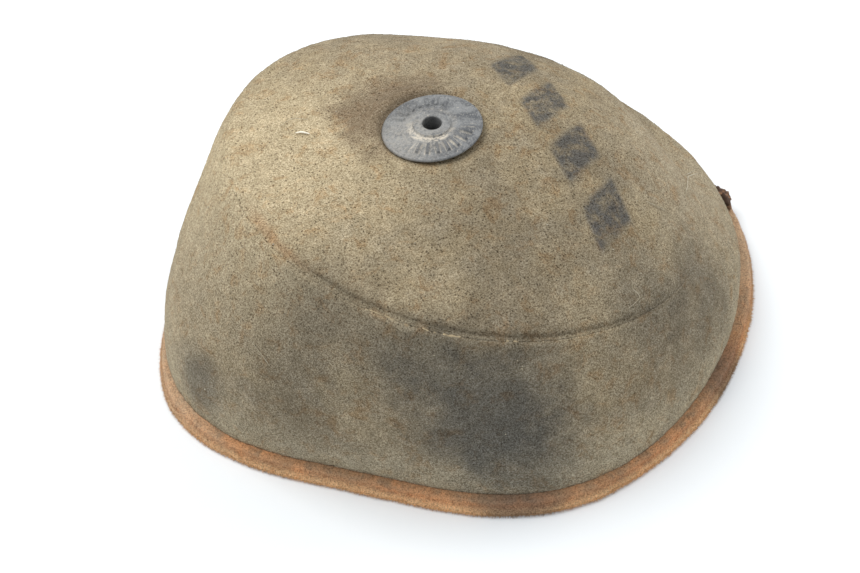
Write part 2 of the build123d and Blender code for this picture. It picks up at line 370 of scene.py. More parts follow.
def build_wall_end_glue():
    """The upright glued joint of the wall strip's ends, at the back."""
    column = int(np.argmin(np.abs(outer[0, : COLUMNS // 2, 0] - BOLT_X)))
    line = outer[2:WALL_ROWS - 2, column]
    normal = surface_normals(outer)[2:WALL_ROWS - 2, column]
    side = np.array([1.0, 0, 0])
    wobble = noise(line, 2.5, 24)[:, None]
    points = []
    for turn in np.linspace(-1, 1, 7):
        lift = 0.22 * (1 - turn * turn) - 0.3 * abs(turn)
        points.append(line + side * (turn * (0.42 + 0.1 * wobble)) + normal * (lift + 0.05 * wobble))
    points.append(line - normal * 0.8)
    loops = np.stack(points, 1)
    foot, top = tube_ends(*loops.shape[:2])
    return add_mesh("wall_end_glue_line", loops, tube_faces(*loops.shape[:2]) + [foot, top[::-1]])


# --- the rim --------------------------------------------------------------------------------------
def rim_section():
    """The rim's cut section as offsets out of the wall's foot, and heights."""
    foot, brow = RIM_PROUD + 0.1, RIM_PROUD - 0.9
    side_low, side_high = 0.4, RIM_THICK - RIM_ROUND
    points = [(o, 0.0) for o in np.linspace(-FOAM, RIM_PROUD - 1.0, 14)]
    points += [(foot - 0.3, 0.1), (foot, side_low)]
    for share in np.linspace(0.15, 1, 6):
        points.append((foot + (brow - foot) * share, side_low + (side_high - side_low) * share))
    for turn in np.radians(np.linspace(18, 90, 6)):
        points.append((brow - RIM_ROUND + RIM_ROUND * math.cos(turn), side_high + RIM_ROUND * math.sin(turn)))
    points += [(o, RIM_THICK) for o in np.linspace(1.2, -FOAM, 14)]
    points += [(-FOAM, z) for z in np.linspace(RIM_THICK - 1.2, 1.2, 4)]
    return points


def rim_loops(section):
    """One loop round the filter for each offset out of the wall's foot, and height."""
    loops = []
    for offset, z in section:
        x, y = base_points(ANGLES, -offset)
        loops.append(np.stack([x, y, np.full(COLUMNS, z)], -1))
    return np.stack(loops)


def rim_push(points):
    """How far the rim's uneven edge stands out or in."""
    return 0.4 * noise(points, 34, 31) + 0.18 * noise(points, 7, 32) + sag(points, RIM_SAGS)


def build_rim():
    """The rim, uneven along its outer side and top, and flat where it seals."""
    grid = rim_loops(rim_section())
    out = np.stack([np.cos(ANGLES), np.sin(ANGLES)], -1)[None]
    offsets = np.array([offset for offset, _ in rim_section()])[:, None]
    heights = grid[..., 2]
    shown = smooth(0.0, 2.5, offsets)
    push = rim_push(grid) + 0.12 * noise(grid, 1.6, 33) + 0.12 * noise(grid, 0.8, 34)
    grid[..., :2] += out * (shown * push)[..., None]
    lift = shown * smooth(0.4, 2.0, heights) * (0.25 * noise(grid, 30, 36) + 0.1 * noise(grid, 2.0, 37))
    grid[..., 2] = np.maximum(heights + lift, 0.02)
    return ring_mesh("sealing_rim_skin", grid)


# --- fibres and cut foam struts -------------------------------------------------------------------
def stubble(name, roots, normals, length, width, lean):
    """Cut foam struts: one thin three-sided spike at each root."""
    count = len(roots)
    direction = normals + rng.normal(0, lean, (count, 3))
    direction /= np.linalg.norm(direction, axis=1, keepdims=True)
    side = np.cross(direction, rng.normal(0, 1, (count, 3)))
    side /= np.linalg.norm(side, axis=1, keepdims=True)
    other = np.cross(direction, side)
    lengths = rng.uniform(*length, count)[:, None]
    widths = rng.uniform(*width, count)[:, None]
    sunk = roots - normals * 0.25
    thirds = (0, 2 * math.pi / 3, 4 * math.pi / 3)
    corners = [sunk + (side * math.cos(t) + other * math.sin(t)) * widths for t in thirds]
    vertices = np.stack([*corners, roots + direction * lengths], 1)
    first = np.arange(count)[:, None] * 4
    pattern = np.array([[0, 1, 3], [1, 2, 3], [2, 0, 3], [2, 1, 0]])
    faces = (first[:, :, None] + pattern[None]).reshape(-1, 3)
    return add_mesh(name, vertices, faces, smooth_faces=False)


def scatter(grid, count, weight=None):
    """Random points on a grid's faces, evenly by area, with their normals."""
    normal = surface_normals(grid)
    across = np.linalg.norm(np.diff(grid, axis=0), axis=-1)
    along = np.linalg.norm(np.roll(grid, -1, 1) - grid, axis=-1)[:-1]
    area = across * along
    if weight is not None:
        area = area * weight[:-1]
    share = np.cumsum(area.ravel())
    pick = np.searchsorted(share, rng.uniform(0, share[-1], count))
    row, column = np.unravel_index(pick, area.shape)
    t, s = rng.uniform(0, 1, (2, count, 1))
    nxt = (column + 1) % grid.shape[1]
    low = grid[row, column] * (1 - s) + grid[row, nxt] * s
    high = grid[row + 1, column] * (1 - s) + grid[row + 1, nxt] * s
    return low * (1 - t) + high * t, normal[row, column]


def build_stubble():
    """Cut struts all over the outer foam, but not under the washer."""
    count = 52000
    keep = np.hypot(outer[..., 0] - BOLT_X, outer[..., 1]) > WASHER_R + 1.0
    roots, normals = scatter(outer, count, keep.astype(float))
    return stubble("outer_foam_struts", roots, normals, (0.12, 0.42), (0.05, 0.11), 0.45)


def build_rim_fuzz():
    """Cut fibres all over the rim, and longer tufts along its lower edge."""
    grid = rim_loops((
        (4.3, 0.15), (4.55, 0.6), (4.5, 1.4), (4.35, 2.4), (4.15, 3.4), (3.9, 4.6), (3.4, 5.8), (1.6, 6.4),
    ))
    pieces = []
    for name, rows, count, length, width, lean in (
        ("sealing_rim_fuzz", 8, 30000, (0.2, 0.6), (0.05, 0.10), 0.5),
        ("sealing_rim_tufts", 3, 9000, (0.4, 1.35), (0.07, 0.16), 0.35),
    ):
        roots, normals = scatter(grid[:rows], count)
        out = roots - np.array([BASE_X, 0, 0])
        out[:, 2] = 0
        out /= np.linalg.norm(out, axis=1, keepdims=True)
        roots = roots + out * rim_push(roots)[:, None]
        pieces.append(stubble(name, roots, normals, length, width, lean))
        floor_it(pieces[-1])
    return pieces


def floor_it(piece):
    """Nothing reaches under the sealing plane."""
    places = np.empty(len(piece.data.vertices) * 3)
    piece.data.vertices.foreach_get("co", places)
    places[2::3] = np.maximum(places[2::3], 0.03 * MM)
    piece.data.vertices.foreach_set("co", places)


# --- the washer -----------------------------------------------------------------------------------
def build_washer():
    """A thin domed washer with a flat land round the hole, a rounded lip and plain moulded strokes."""
    columns = 288
    turn = np.linspace(0, 2 * math.pi, columns, endpoint=False)
    top = [(BOLT_HOLE_R, 2.55), (3.35, 2.75), (3.7, 2.9)]
    top += [(r, 2.9) for r in np.linspace(4.2, 6.1, 6)]
    top += [(6.25, 2.84), (6.4, 2.6), (6.5, 2.25), (6.7, 2.08), (7.0, 2.04)]
    top += [(r, 2.04 - 0.84 * ((r - 7.0) / 9.4) ** 1.5) for r in np.linspace(7.3, 16.2, 60)]
    top += [(16.55, 1.16), (16.8, 1.0), (16.95, 0.75), (WASHER_R, 0.5), (16.9, 0.25), (16.6, 0.1)]
    under = [(16.2, 0.06), (13.0, 0.3), (9.0, 0.45), (SLEEVE_R + 0.4, 0.5), (SLEEVE_R, 0.2)]
    under += [(SLEEVE_R, z) for z in np.linspace(-1.0, -FOAM, 8)]
    under += [(4.9, -FOAM), (BOLT_HOLE_R, -FOAM)]
    under += [(BOLT_HOLE_R, z) for z in np.linspace(-FOAM + 2, 2.2, 8)]
    profile = np.array(top + under)
    r = profile[:, :1] * np.ones((1, columns))
    z = profile[:, 1:] * np.ones((1, columns))
    is_top = (np.arange(len(profile)) < len(top))[:, None]
    strokes = np.zeros_like(r)
    for side in (math.pi / 2, -math.pi / 2):
        for i in range(STROKE_COUNT):
            centre = side + STROKE_STEP * (i - (STROKE_COUNT - 1) / 2)
            off = (turn[None] - centre + math.pi) % (2 * math.pi) - math.pi
            along = smooth(STROKE_FROM, STROKE_FROM + 0.4, r) * (1 - smooth(STROKE_TO - 0.4, STROKE_TO, r))
            strokes = np.maximum(strokes, along * (1 - smooth(0.42, 0.72, np.abs(off) * r)))
    flange = smooth(7.0, 8.5, r)
    x = r * np.cos(turn)[None]
    y = r * np.sin(turn)[None]
    points = np.stack([BOLT_X + x, y, z], -1)
    bend = smooth(5.6, 8.0, r) * (np.abs(z) < 4)
    uneven = 0.12 * noise(points, 9, 41) * flange + 0.5 * flange * np.cos(turn + 0.9)[None] * (r / WASHER_R)
    relief = is_top * strokes * STROKE_RISE
    points[..., 2] = SEAT_Z + z + bend * washer_lean(x, y) + relief + uneven * bend
    return ring_mesh("washer_shell", points)


# --- dirt and lint --------------------------------------------------------------------------------
def hug(point, lift):
    """The skin's nearest vertex to a point, lifted off the foam by that much."""
    skin_points = outer[::2, ::2].reshape(-1, 3)
    near = skin_points[np.argmin(((skin_points - point) ** 2).sum(1))]
    outward = near - np.array([BOLT_X, 0, 10])
    return near + lift * outward / np.linalg.norm(outward)


def strand(points, radius, steps=28, sides=5):
    """A thin bent hair through a few points, as loops of a tube: a Catmull-Rom curve, thin at its ends."""
    t = np.linspace(0, len(points) - 1, steps)
    i = np.clip(t.astype(int), 0, len(points) - 2)
    f = (t - i)[:, None]
    padded = np.concatenate([2 * points[:1] - points[1:2], points, 2 * points[-1:] - points[-2:-1]])
    p0, p1, p2, p3 = (padded[i + k] for k in range(4))
    square = (2 * p0 - 5 * p1 + 4 * p2 - p3) * f**2
    cube = (3 * p1 - p0 - 3 * p2 + p3) * f**3
    line = 0.5 * (2 * p1 + (p2 - p0) * f + square + cube)
    tangent = np.gradient(line, axis=0)
    tangent /= np.linalg.norm(tangent, axis=1, keepdims=True)
    side = np.cross(tangent, [0.3, 0.2, 0.93])
    side /= np.linalg.norm(side, axis=1, keepdims=True)
    other = np.cross(tangent, side)
    taper = (radius * (0.35 + 0.65 * np.sin(np.linspace(0.15, math.pi - 0.15, steps))))[:, None]
    turns = np.arange(sides) * 2 * math.pi / sides
    return np.stack([line + taper * (side * math.cos(a) + other * math.sin(a)) for a in turns], 1)


LINT = (
    # points on the filter in millimetres, then how far each stands off it, and the hair's radius
    (
        ((96, -5, 32), (88, -13, 38), (85, -18, 42), (78, -26, 46), (74, -33, 49)),
        (2.6, 1.6, 1.0, 0.5, 0.2),
        0.21,
    ),
    (((96, -3, 31), (94, -6, 33), (90, -10, 36)), (2.9, 1.6, 0.2), 0.13),
    (((34, -67, 60), (33, -70, 58), (34, -73, 56), (28, -75, 57)), (0.2, 0.6, 0.6, 0.2), 0.11),
    (((-44, 17, 84), (-46, 19, 84), (-48, 20, 84)), (0.4, 0.7, 0.4), 0.34),
    (((-51, 26, 83), (-46, 27, 84), (-42, 25, 84)), (0.2, 0.8, 0.2), 0.10),
    (((-84, -33, 52), (-82, -38, 50), (-82, -41, 47)), (0.15, 0.6, 0.15), 0.12),
    (((50, -40, 62), (54, -42, 59), (58, -43, 56)), (0.15, 0.6, 0.15), 0.12),
)


def build_lint():
    """Hairs and fibres that have settled on the foam."""
    vertices, faces = [], []
    for points, lifts, radius in LINT:
        loops = strand(np.array([hug(p, lift) for p, lift in zip(points, lifts)]), radius)
        faces += tube_faces(*loops.shape[:2], sum(len(v) for v in vertices))
        vertices.append(loops.reshape(-1, 3))
    return add_mesh("lint_fibres", np.concatenate(vertices), faces)


def build_specks():
    """Pale grit caught in the foam: small uneven crystals."""
    count = 150
    roots, normals = scatter(outer, count)
    vertices, faces = [], []
    shape = np.array([[1, 0, 0], [-1, 0, 0], [0, 1, 0], [0, -1, 0], [0, 0, 1], [0, 0, -1]], float)
    pattern = np.array([
        [0, 2, 4], [2, 1, 4], [1, 3, 4], [3, 0, 4], [2, 0, 5], [1, 2, 5], [3, 1, 5], [0, 3, 5],
    ])
    for i, (root, normal) in enumerate(zip(roots, normals)):
        size = rng.uniform(0.12, 0.42)
        vertices.append(root + normal * 0.1 + shape * size * rng.uniform(0.6, 1.3, (6, 1)))
        faces.append(pattern + 6 * i)
    return add_mesh("dust_specks", np.concatenate(vertices), np.concatenate(faces), smooth_faces=False)


def build_torn_lump():
    """A torn, dirt-soaked tag of rim foam at the back right."""
    steps, sides = 26, 30
    u = np.linspace(0.02, math.pi - 0.02, steps)[:, None]
    v = np.linspace(0, 2 * math.pi, sides, endpoint=False)[None, :]
    ball = np.stack([np.sin(u) * np.cos(v), np.sin(u) * np.sin(v), np.cos(u) * np.ones_like(v)], -1)
    x, y = base_points(TEAR_ANGLE, -1.2)
    out = np.array([math.cos(TEAR_ANGLE), math.sin(TEAR_ANGLE), 0])
    along = np.array([-math.sin(TEAR_ANGLE), math.cos(TEAR_ANGLE), 0])
    upward = np.array([0, 0, 1])
    shape = ball[..., :1] * out * 2.9 + ball[..., 1:2] * along * 6.6 + ball[..., 2:] * upward * 3.2
    ragged = 1 + 0.45 * noise(shape, 2.2, 51) + 0.22 * noise(shape, 0.9, 52)
    first, last = tube_ends(steps, sides)
    faces = tube_faces(steps, sides) + [first[::-1], last]
    return add_mesh("torn_rim_tag", np.array([x, y, 7.4]) + shape * ragged[..., None], faces)


# --- materials ------------------------------------------------------------------------------------
class Shader:
    """Builds one material's nodes with short calls."""

    def __init__(self, name):
        self.material = bpy.data.materials.new(name)
        self.material.use_nodes = True
        self.tree = self.material.node_tree
        self.bsdf = self.tree.nodes["Principled BSDF"]
        self.place = self.add("ShaderNodeTexCoord").outputs["Object"]

    def add(self, kind, **settings):
        node = self.tree.nodes.new(kind)
        for key, value in settings.items():
            setattr(node, key, value)
        return node

    def put(self, socket, value):
        if isinstance(value, bpy.types.NodeSocket):
            self.tree.links.new(value, socket)
        elif socket.type == "RGBA":
            socket.default_value = (*value, 1) if len(value) == 3 else value
        else:
            socket.default_value = value

    def noise(self, size, detail=3.0, rough=0.55, distort=0.0, offset=None):
        node = self.add("ShaderNodeTexNoise")
        vector = self.place
        if offset is not None:
            shift = self.add("ShaderNodeVectorMath", operation="ADD")
            self.put(shift.inputs[0], self.place)
            shift.inputs[1].default_value = offset
            vector = shift.outputs[0]
        self.put(node.inputs["Vector"], vector)
        node.inputs["Scale"].default_value = 1 / size
        node.inputs["Detail"].default_value = detail
        node.inputs["Roughness"].default_value = rough
        node.inputs["Distortion"].default_value = distort
        return node.outputs["Fac"]

    def cells(self, size):
        """A cell pattern's node: Distance is 0 at a cell's middle, Color is one per cell."""
        node = self.add("ShaderNodeTexVoronoi")
        self.put(node.inputs["Vector"], self.place)
        node.inputs["Scale"].default_value = 1 / size
        return node

    def ramp(self, value, low, high, to_low=0.0, to_high=1.0):
        """A soft step from to_low, where value is low, to to_high, where it is high."""
        node = self.add("ShaderNodeMapRange", interpolation_type="SMOOTHSTEP")
        for socket, item in zip(node.inputs[:5], (value, low, high, to_low, to_high)):
            self.put(socket, item)
        return node.outputs[0]

    def math(self, kind, a, b=0.0, clamp=False):
        node = self.add("ShaderNodeMath", operation=kind, use_clamp=clamp)
        self.put(node.inputs[0], a)
        self.put(node.inputs[1], b)
        return node.outputs[0]

    def mix(self, share, a, b, blend="MIX"):
        node = self.add("ShaderNodeMix", data_type="RGBA", blend_type=blend)
        self.put(node.inputs[0], share)
        self.put(node.inputs[6], a)
        self.put(node.inputs[7], b)
        return node.outputs[2]

    def spot(self, centre, radius, edge, wobble):
        """1 inside a soft blob on the object, 0 outside. Centre and radius are in millimetres."""
        shift = self.add("ShaderNodeVectorMath", operation="SUBTRACT")
        self.put(shift.inputs[0], self.place)
        shift.inputs[1].default_value = [c * MM for c in centre]
        scale = self.add("ShaderNodeVectorMath", operation="MULTIPLY")
        self.put(scale.inputs[0], shift.outputs[0])
        scale.inputs[1].default_value = [1 / (radius * MM)] * 3
        length = self.add("ShaderNodeVectorMath", operation="LENGTH")
        self.put(length.inputs[0], scale.outputs[0])
        uneven = self.math("MULTIPLY", self.math("SUBTRACT", wobble, 0.5), 1.4)
        distance = self.math("ADD", length.outputs["Value"], uneven)
        return self.ramp(distance, 1 - edge, 1 + edge, 1.0, 0.0)

    def xyz(self):
        """The place on the object, in metres."""
        split = self.add("ShaderNodeSeparateXYZ")
        self.put(split.inputs[0], self.place)
        return split.outputs

    def bump(self, height, strength, distance):
        """Relief from a height pattern. Distance is in millimetres."""
        node = self.add("ShaderNodeBump")
        node.inputs["Strength"].default_value = strength
        node.inputs["Distance"].default_value = distance * MM
        self.put(node.inputs["Height"], height)
        return node.outputs[0]

    def tint(self, share, colour, factor):
        """Colour multiplied by a factor, as far as share says."""
        return self.mix(share, colour, self.mix(1.0, colour, factor, "MULTIPLY"))

    def times(self, first, *others):
        """The product of several shares."""
        for other in others:
            first = self.math("MULTIPLY", first, other)
        return first

    def done(self, colour, roughness, normal=None, specular=0.2, **sockets):
        """Sets the shader's sockets and gives the material."""
        self.put(self.bsdf.inputs["Base Color"], colour)
        self.put(self.bsdf.inputs["Roughness"], roughness)
        self.bsdf.inputs["Specular IOR Level"].default_value = specular
        if normal is not None:
            self.put(self.bsdf.inputs["Normal"], normal)
        for key, value in sockets.items():
            self.put(self.bsdf.inputs[key.replace("_", " ")], value)
        return self.material


def pores(s, pitch):
    """Open cells: dark dots of uneven strength, with finer ones between them."""
    large = s.cells(pitch)
    split = s.add("ShaderNodeSeparateColor")
    s.put(split.inputs[0], large.outputs["Color"])
    dot = s.ramp(large.outputs["Distance"], 0.12, 0.36, 1.0, 0.0)
    hole = s.math("MULTIPLY", dot, s.ramp(split.outputs[0], 0.15, 0.75, 0.25, 1.0))
    small = s.ramp(s.cells(pitch * 0.5).outputs["Distance"], 0.10, 0.45, 1.0, 0.0)
    return hole, small


def grained(s, colour, pitch, hole_depth, small_depth, glint, tip=(1.95, 2.05, 2.25)):
    """Colour with pale cut struts and brown-black pores; also gives their relief."""
    hole, small = pores(s, pitch)
    grain = s.noise(0.00048, 2.0, 0.75)
    coarse_grain = s.noise(0.0013, 2.0, 0.6, 0.0, (0.1, 0.5, 0.3))
    pale = s.mix(1.0, colour, tip, "MULTIPLY")
    dark = s.mix(1.0, colour, (0.36, 0.30, 0.25), "MULTIPLY")
    colour = s.mix(s.ramp(grain, 0.49, 0.62, 0.0, glint), colour, pale)
    colour = s.mix(s.ramp(grain, 0.34, 0.50, 0.66, 0.0), colour, dark)
    colour = s.mix(s.ramp(coarse_grain, 0.54, 0.72, 0.0, 0.30), colour, dark)
    colour = s.tint(s.math("MULTIPLY", hole, hole_depth), colour, (0.17, 0.14, 0.115))
    colour = s.mix(s.math("MULTIPLY", small, small_depth), colour, dark)
    holes = s.math("ADD", hole, s.math("MULTIPLY", small, 0.5))
    return colour, s.math("SUBTRACT", s.math("MULTIPLY", grain, 0.6), holes)


STAINS_AND_PAINTED_SHADE = (
    # centre in millimetres, radius, strength
    ((-25.0, -85.0, 40.0), 24.0, 0.78),
    ((-42.0, -71.0, 62.0), 14.0, 0.52),
    ((-14.0, -92.0, 20.0), 19.0, 0.50),
    ((-103.0, -19.0, 25.0), 11.0, 0.50),
    ((-66.0, -42.0, 74.0), 13.0, 0.25),
    ((34.0, -72.0, 53.0), 15.0, 0.42),
    ((62.0, -64.0, 36.0), 20.0, 0.34),
    ((-66.0, -52.0, 48.0), 26.0, 0.22),
    ((62.0, 52.0, 48.0), 24.0, 0.40),
    ((-58.0, 62.0, 50.0), 20.0, 0.35),
    ((8.0, 78.0, 66.0), 16.0, 0.25),
    # the last entry is painted shade, not a stain: it darkens the left wall a little, where less light falls
    ((-86.0, -4.0, 64.0), 22.0, 0.13),
)
DUST = (
    # centre in millimetres, radius, strength
    ((84.0, -14.0, 50.0), 34.0, 0.72),
    ((14.0, 56.0, 76.0), 38.0, 0.30),
    ((-100.0, 6.0, 34.0), 30.0, 0.22),
    ((-104.0, 12.0, 24.0), 18.0, 0.45),
)
BAR_STEP, BAR_SLANT, BAR_X = 23.5, 0.6, 35.0        # pitch, slope in plan, and middle line
BAR_COUNT_FROM, BAR_MIDDLE_Y = 59.0, 12.0           # where the count starts, and the row's middle


def faded_bars(s, x, y, z, worn):
    """Four plain slanted bars of faded paint across the low side of the crown."""
    from_line = s.math("SUBTRACT", x, BAR_X * MM)
    along = s.math("ADD", y, s.math("MULTIPLY", from_line, -BAR_SLANT))
    count = s.math("MULTIPLY", s.math("ADD", along, BAR_COUNT_FROM * MM), 1 / (BAR_STEP * MM))
    off_middle = s.math("ABSOLUTE", s.math("SUBTRACT", s.math("FRACT", count), 0.5))
    reach = s.math("ABSOLUTE", s.math("ADD", along, BAR_MIDDLE_Y * MM))
    return s.times(
        s.ramp(off_middle, 0.24, 0.40, 1.0, 0.0),
        s.ramp(s.math("ABSOLUTE", from_line), 7.0 * MM, 9.5 * MM, 1.0, 0.0),
        s.ramp(reach, 45.0 * MM, 47.0 * MM, 1.0, 0.0),
        s.ramp(z, 56.0 * MM, 60.0 * MM),
        s.ramp(worn, 0.34, 0.60, 0.30, 0.88),
    )


def coarse_foam(name):
    """Olive foam gone sooty, under tan dust, with brown mottling, dark pores and faded plain bars, and
    painted light and shade: floor bounce light near the foot, shade on the left wall and above the front
    seam, and shade with dirt round the washer's dimple.
    """
    s = Shader(name)
    x, y, z = s.xyz()
    blotch = s.noise(0.030, 5.0, 0.58, 0.4)
    patch = s.noise(0.011, 4.0, 0.6, 0.2, (0.3, 0.1, 0.2))
    mottle = s.noise(0.0048, 4.0, 0.68, 0.3, (0.6, 0.4, 0.1))
    colour = s.mix(s.ramp(blotch, 0.36, 0.66), (0.235, 0.187, 0.120), (0.360, 0.286, 0.178))
    colour = s.mix(s.ramp(patch, 0.35, 0.75, 0.0, 0.45), colour, (0.275, 0.240, 0.180))
    dust = s.spot((-60.0, 16.0, 84.0), 44.0, 0.75, blotch)
    colour = s.mix(s.math("MULTIPLY", dust, 0.80), colour, (0.560, 0.455, 0.290))
    for centre, radius, strength in DUST:
        mask = s.spot(centre, radius, 0.7, blotch)
        colour = s.mix(s.math("MULTIPLY", mask, strength), colour, (0.43, 0.355, 0.240))
    # Painted bounce light: the wall turns lighter and tan towards its foot, as light off the pale floor would
    # make it.
    painted_floor_bounce = s.ramp(z, 10.0 * MM, 34.0 * MM, 0.50, 0.0)
    colour = s.mix(painted_floor_bounce, colour, (0.41, 0.355, 0.250))
    # Stains, and one patch of painted shade on the left wall.
    for centre, radius, strength in STAINS_AND_PAINTED_SHADE:
        mask = s.spot(centre, radius, 0.6, patch)
        colour = s.mix(s.math("MULTIPLY", mask, strength), colour, (0.095, 0.092, 0.082))
    above = s.math("ADD", z, s.math("MULTIPLY", x, -SHOULDER_SLOPE))
    above = s.math("SUBTRACT", above, (SHOULDER_Z - SHOULDER_SLOPE * BOLT_X) * MM)
    ochre = s.spot((-72.0, -22.0, 82.5), 13.0, 0.6, patch)
    streak = s.ramp(s.math("ABSOLUTE", above), 0.3 * MM, 1.8 * MM, 0.36, 0.0)
    colour = s.mix(s.math("MULTIPLY", ochre, streak), colour, (0.42, 0.225, 0.105))
    rusty = s.ramp(s.noise(0.0068, 5.0, 0.72, 0.6, (0.9, 0.2, 0.4)), 0.50, 0.68, 0.0, 0.66)
    colour = s.tint(rusty, colour, (0.84, 0.67, 0.52))
    colour = s.tint(s.ramp(mottle, 0.38, 0.66, 0.38, 0.0), colour, (0.62, 0.62, 0.60))
    colour = s.tint(s.ramp(mottle, 0.56, 0.74, 0.0, 0.40), colour, (1.28, 1.26, 1.22))
    bars = faded_bars(s, x, y, z, mottle)
    colour = s.mix(bars, colour, (0.080, 0.079, 0.076))
    # Darker brown round the washer's dimple at the back left: partly dirt, partly painted shade of the
    # hollow.
    dimple_dirt_and_shade = s.spot((BOLT_X - 8.5, 14.0, 86.5), 19.5, 0.40, patch)
    colour = s.mix(s.math("MULTIPLY", dimple_dirt_and_shade, 0.66), colour, (0.130, 0.090, 0.060))
    # Painted shade: the crown just above the front seam is darkened, where the seam's valley would shade it.
    seam_painted_shade = s.times(
        s.ramp(above, -0.2 * MM, 0.3 * MM),
        s.ramp(above, 0.5 * MM, 2.4 * MM, 1.0, 0.0),
        s.ramp(y, -48.0 * MM, -18.0 * MM, 0.55, 0.0),
        s.ramp(x, 22.0 * MM, 58.0 * MM, 1.0, 0.0),
    )
    colour = s.tint(seam_painted_shade, colour, (0.42, 0.40, 0.38))
    crownward = s.ramp(z, 48.0 * MM, 76.0 * MM, 0.42, 0.74)
    glint = s.ramp(z, 55.0 * MM, 72.0 * MM, 0.58, 0.44)
    colour, depth = grained(s, colour, 0.00112, crownward, 0.30, glint)
    return s.done(colour, 0.95, s.bump(depth, 0.55, 0.35), 0.10)


def clean_fine_foam(name):
    """Rust-orange dense foam on the clean side."""
    return fine_foam(name, ((0.44, 0.18, 0.065), (0.58, 0.235, 0.075)), 0.25)


def dirty_rim_foam(name):
    """The same foam at the rim: bleached, with dust and painted floor bounce light below, grimy above, worn
    at both ends and smeared.
    """
    return fine_foam(name, ((0.45, 0.255, 0.138), (0.62, 0.305, 0.145)), 0.55, rim_dirt)


WORN_ENDS = (
    # centre and radius, in millimetres
    ((-106.0, 0.0, 4.0), 26.0),
    ((108.0, -34.0, 4.0), 26.0),
)
SMEARS = (
    # centre and radius, in millimetres
    ((-20.0, -98.0, 3.0), 13.0),
    ((70.0, -77.0, 4.0), 12.0),
    ((-62.0, 78.0, 3.0), 14.0),
)


def rim_dirt(s, colour, blotch, patch):
    """Dust and painted floor bounce light, grime, wear and smears on the rim's colour."""
    z = s.xyz()[2]
    # Lighter and tan towards the foot: partly dust, partly painted bounce light from the floor.
    dust_and_painted_bounce = s.times(s.ramp(z, 0.05 * MM, 0.5 * MM), s.ramp(z, 1.5 * MM, 5.4 * MM, 0.76, 0.0))
    colour = s.mix(dust_and_painted_bounce, colour, (0.80, 0.53, 0.295))
    grime = s.times(s.ramp(z, 5.0 * MM, 6.5 * MM), s.ramp(patch, 0.40, 0.60, 0.14, 0.66))
    colour = s.mix(grime, colour, (0.26, 0.185, 0.12))
    for centre, radius in WORN_ENDS:
        worn_end = s.spot(centre, radius, 0.6, blotch)
        colour = s.mix(s.math("MULTIPLY", worn_end, 0.6), colour, (0.55, 0.40, 0.27))
    tear = s.spot((103.0, 0.0, 4.0), 9.0, 0.5, patch)
    colour = s.mix(s.math("MULTIPLY", tear, 0.6), colour, (0.09, 0.06, 0.045))
    for centre, radius in SMEARS:
        smear = s.spot(centre, radius, 0.6, patch)
        colour = s.mix(s.math("MULTIPLY", smear, 0.62), colour, (0.125, 0.095, 0.078))
    return colour


def fine_foam(name, tones, soiling, dirtied=None):
    """Dense orange foam between two tones, with velvety grain and dirt worked into it."""
    s = Shader(name)
    blotch = s.noise(0.019, 5.0, 0.62, 0.5)
    patch = s.noise(0.007, 5.0, 0.65, 0.4, (0.2, 0.7, 0.1))
    colour = s.mix(s.ramp(blotch, 0.38, 0.64), *tones)
    colour = s.mix(s.ramp(patch, 0.52, 0.72, 0.0, soiling), colour, (0.135, 0.105, 0.085))
    if dirtied:
        colour = dirtied(s, colour, blotch, patch)
    colour, depth = grained(s, colour, 0.00070, 0.36, 0.20, 0.32, (1.8, 1.75, 1.6))
    return s.done(colour, 0.95, s.bump(depth, 0.5, 0.22), 0.10)


def dried_glue(name):
    """Tan contact glue, dirty in places."""
    s = Shader(name)
    colour = s.mix(s.ramp(s.noise(0.004, 3.0), 0.35, 0.7), (0.27, 0.205, 0.125), (0.50, 0.40, 0.25))
    colour = s.mix(s.ramp(s.noise(0.0012, 2.0), 0.5, 0.7, 0, 0.5), colour, (0.16, 0.13, 0.09))
    return s.done(colour, 0.7, s.bump(s.noise(0.0007, 2.0), 0.5, 0.15), 0.3)


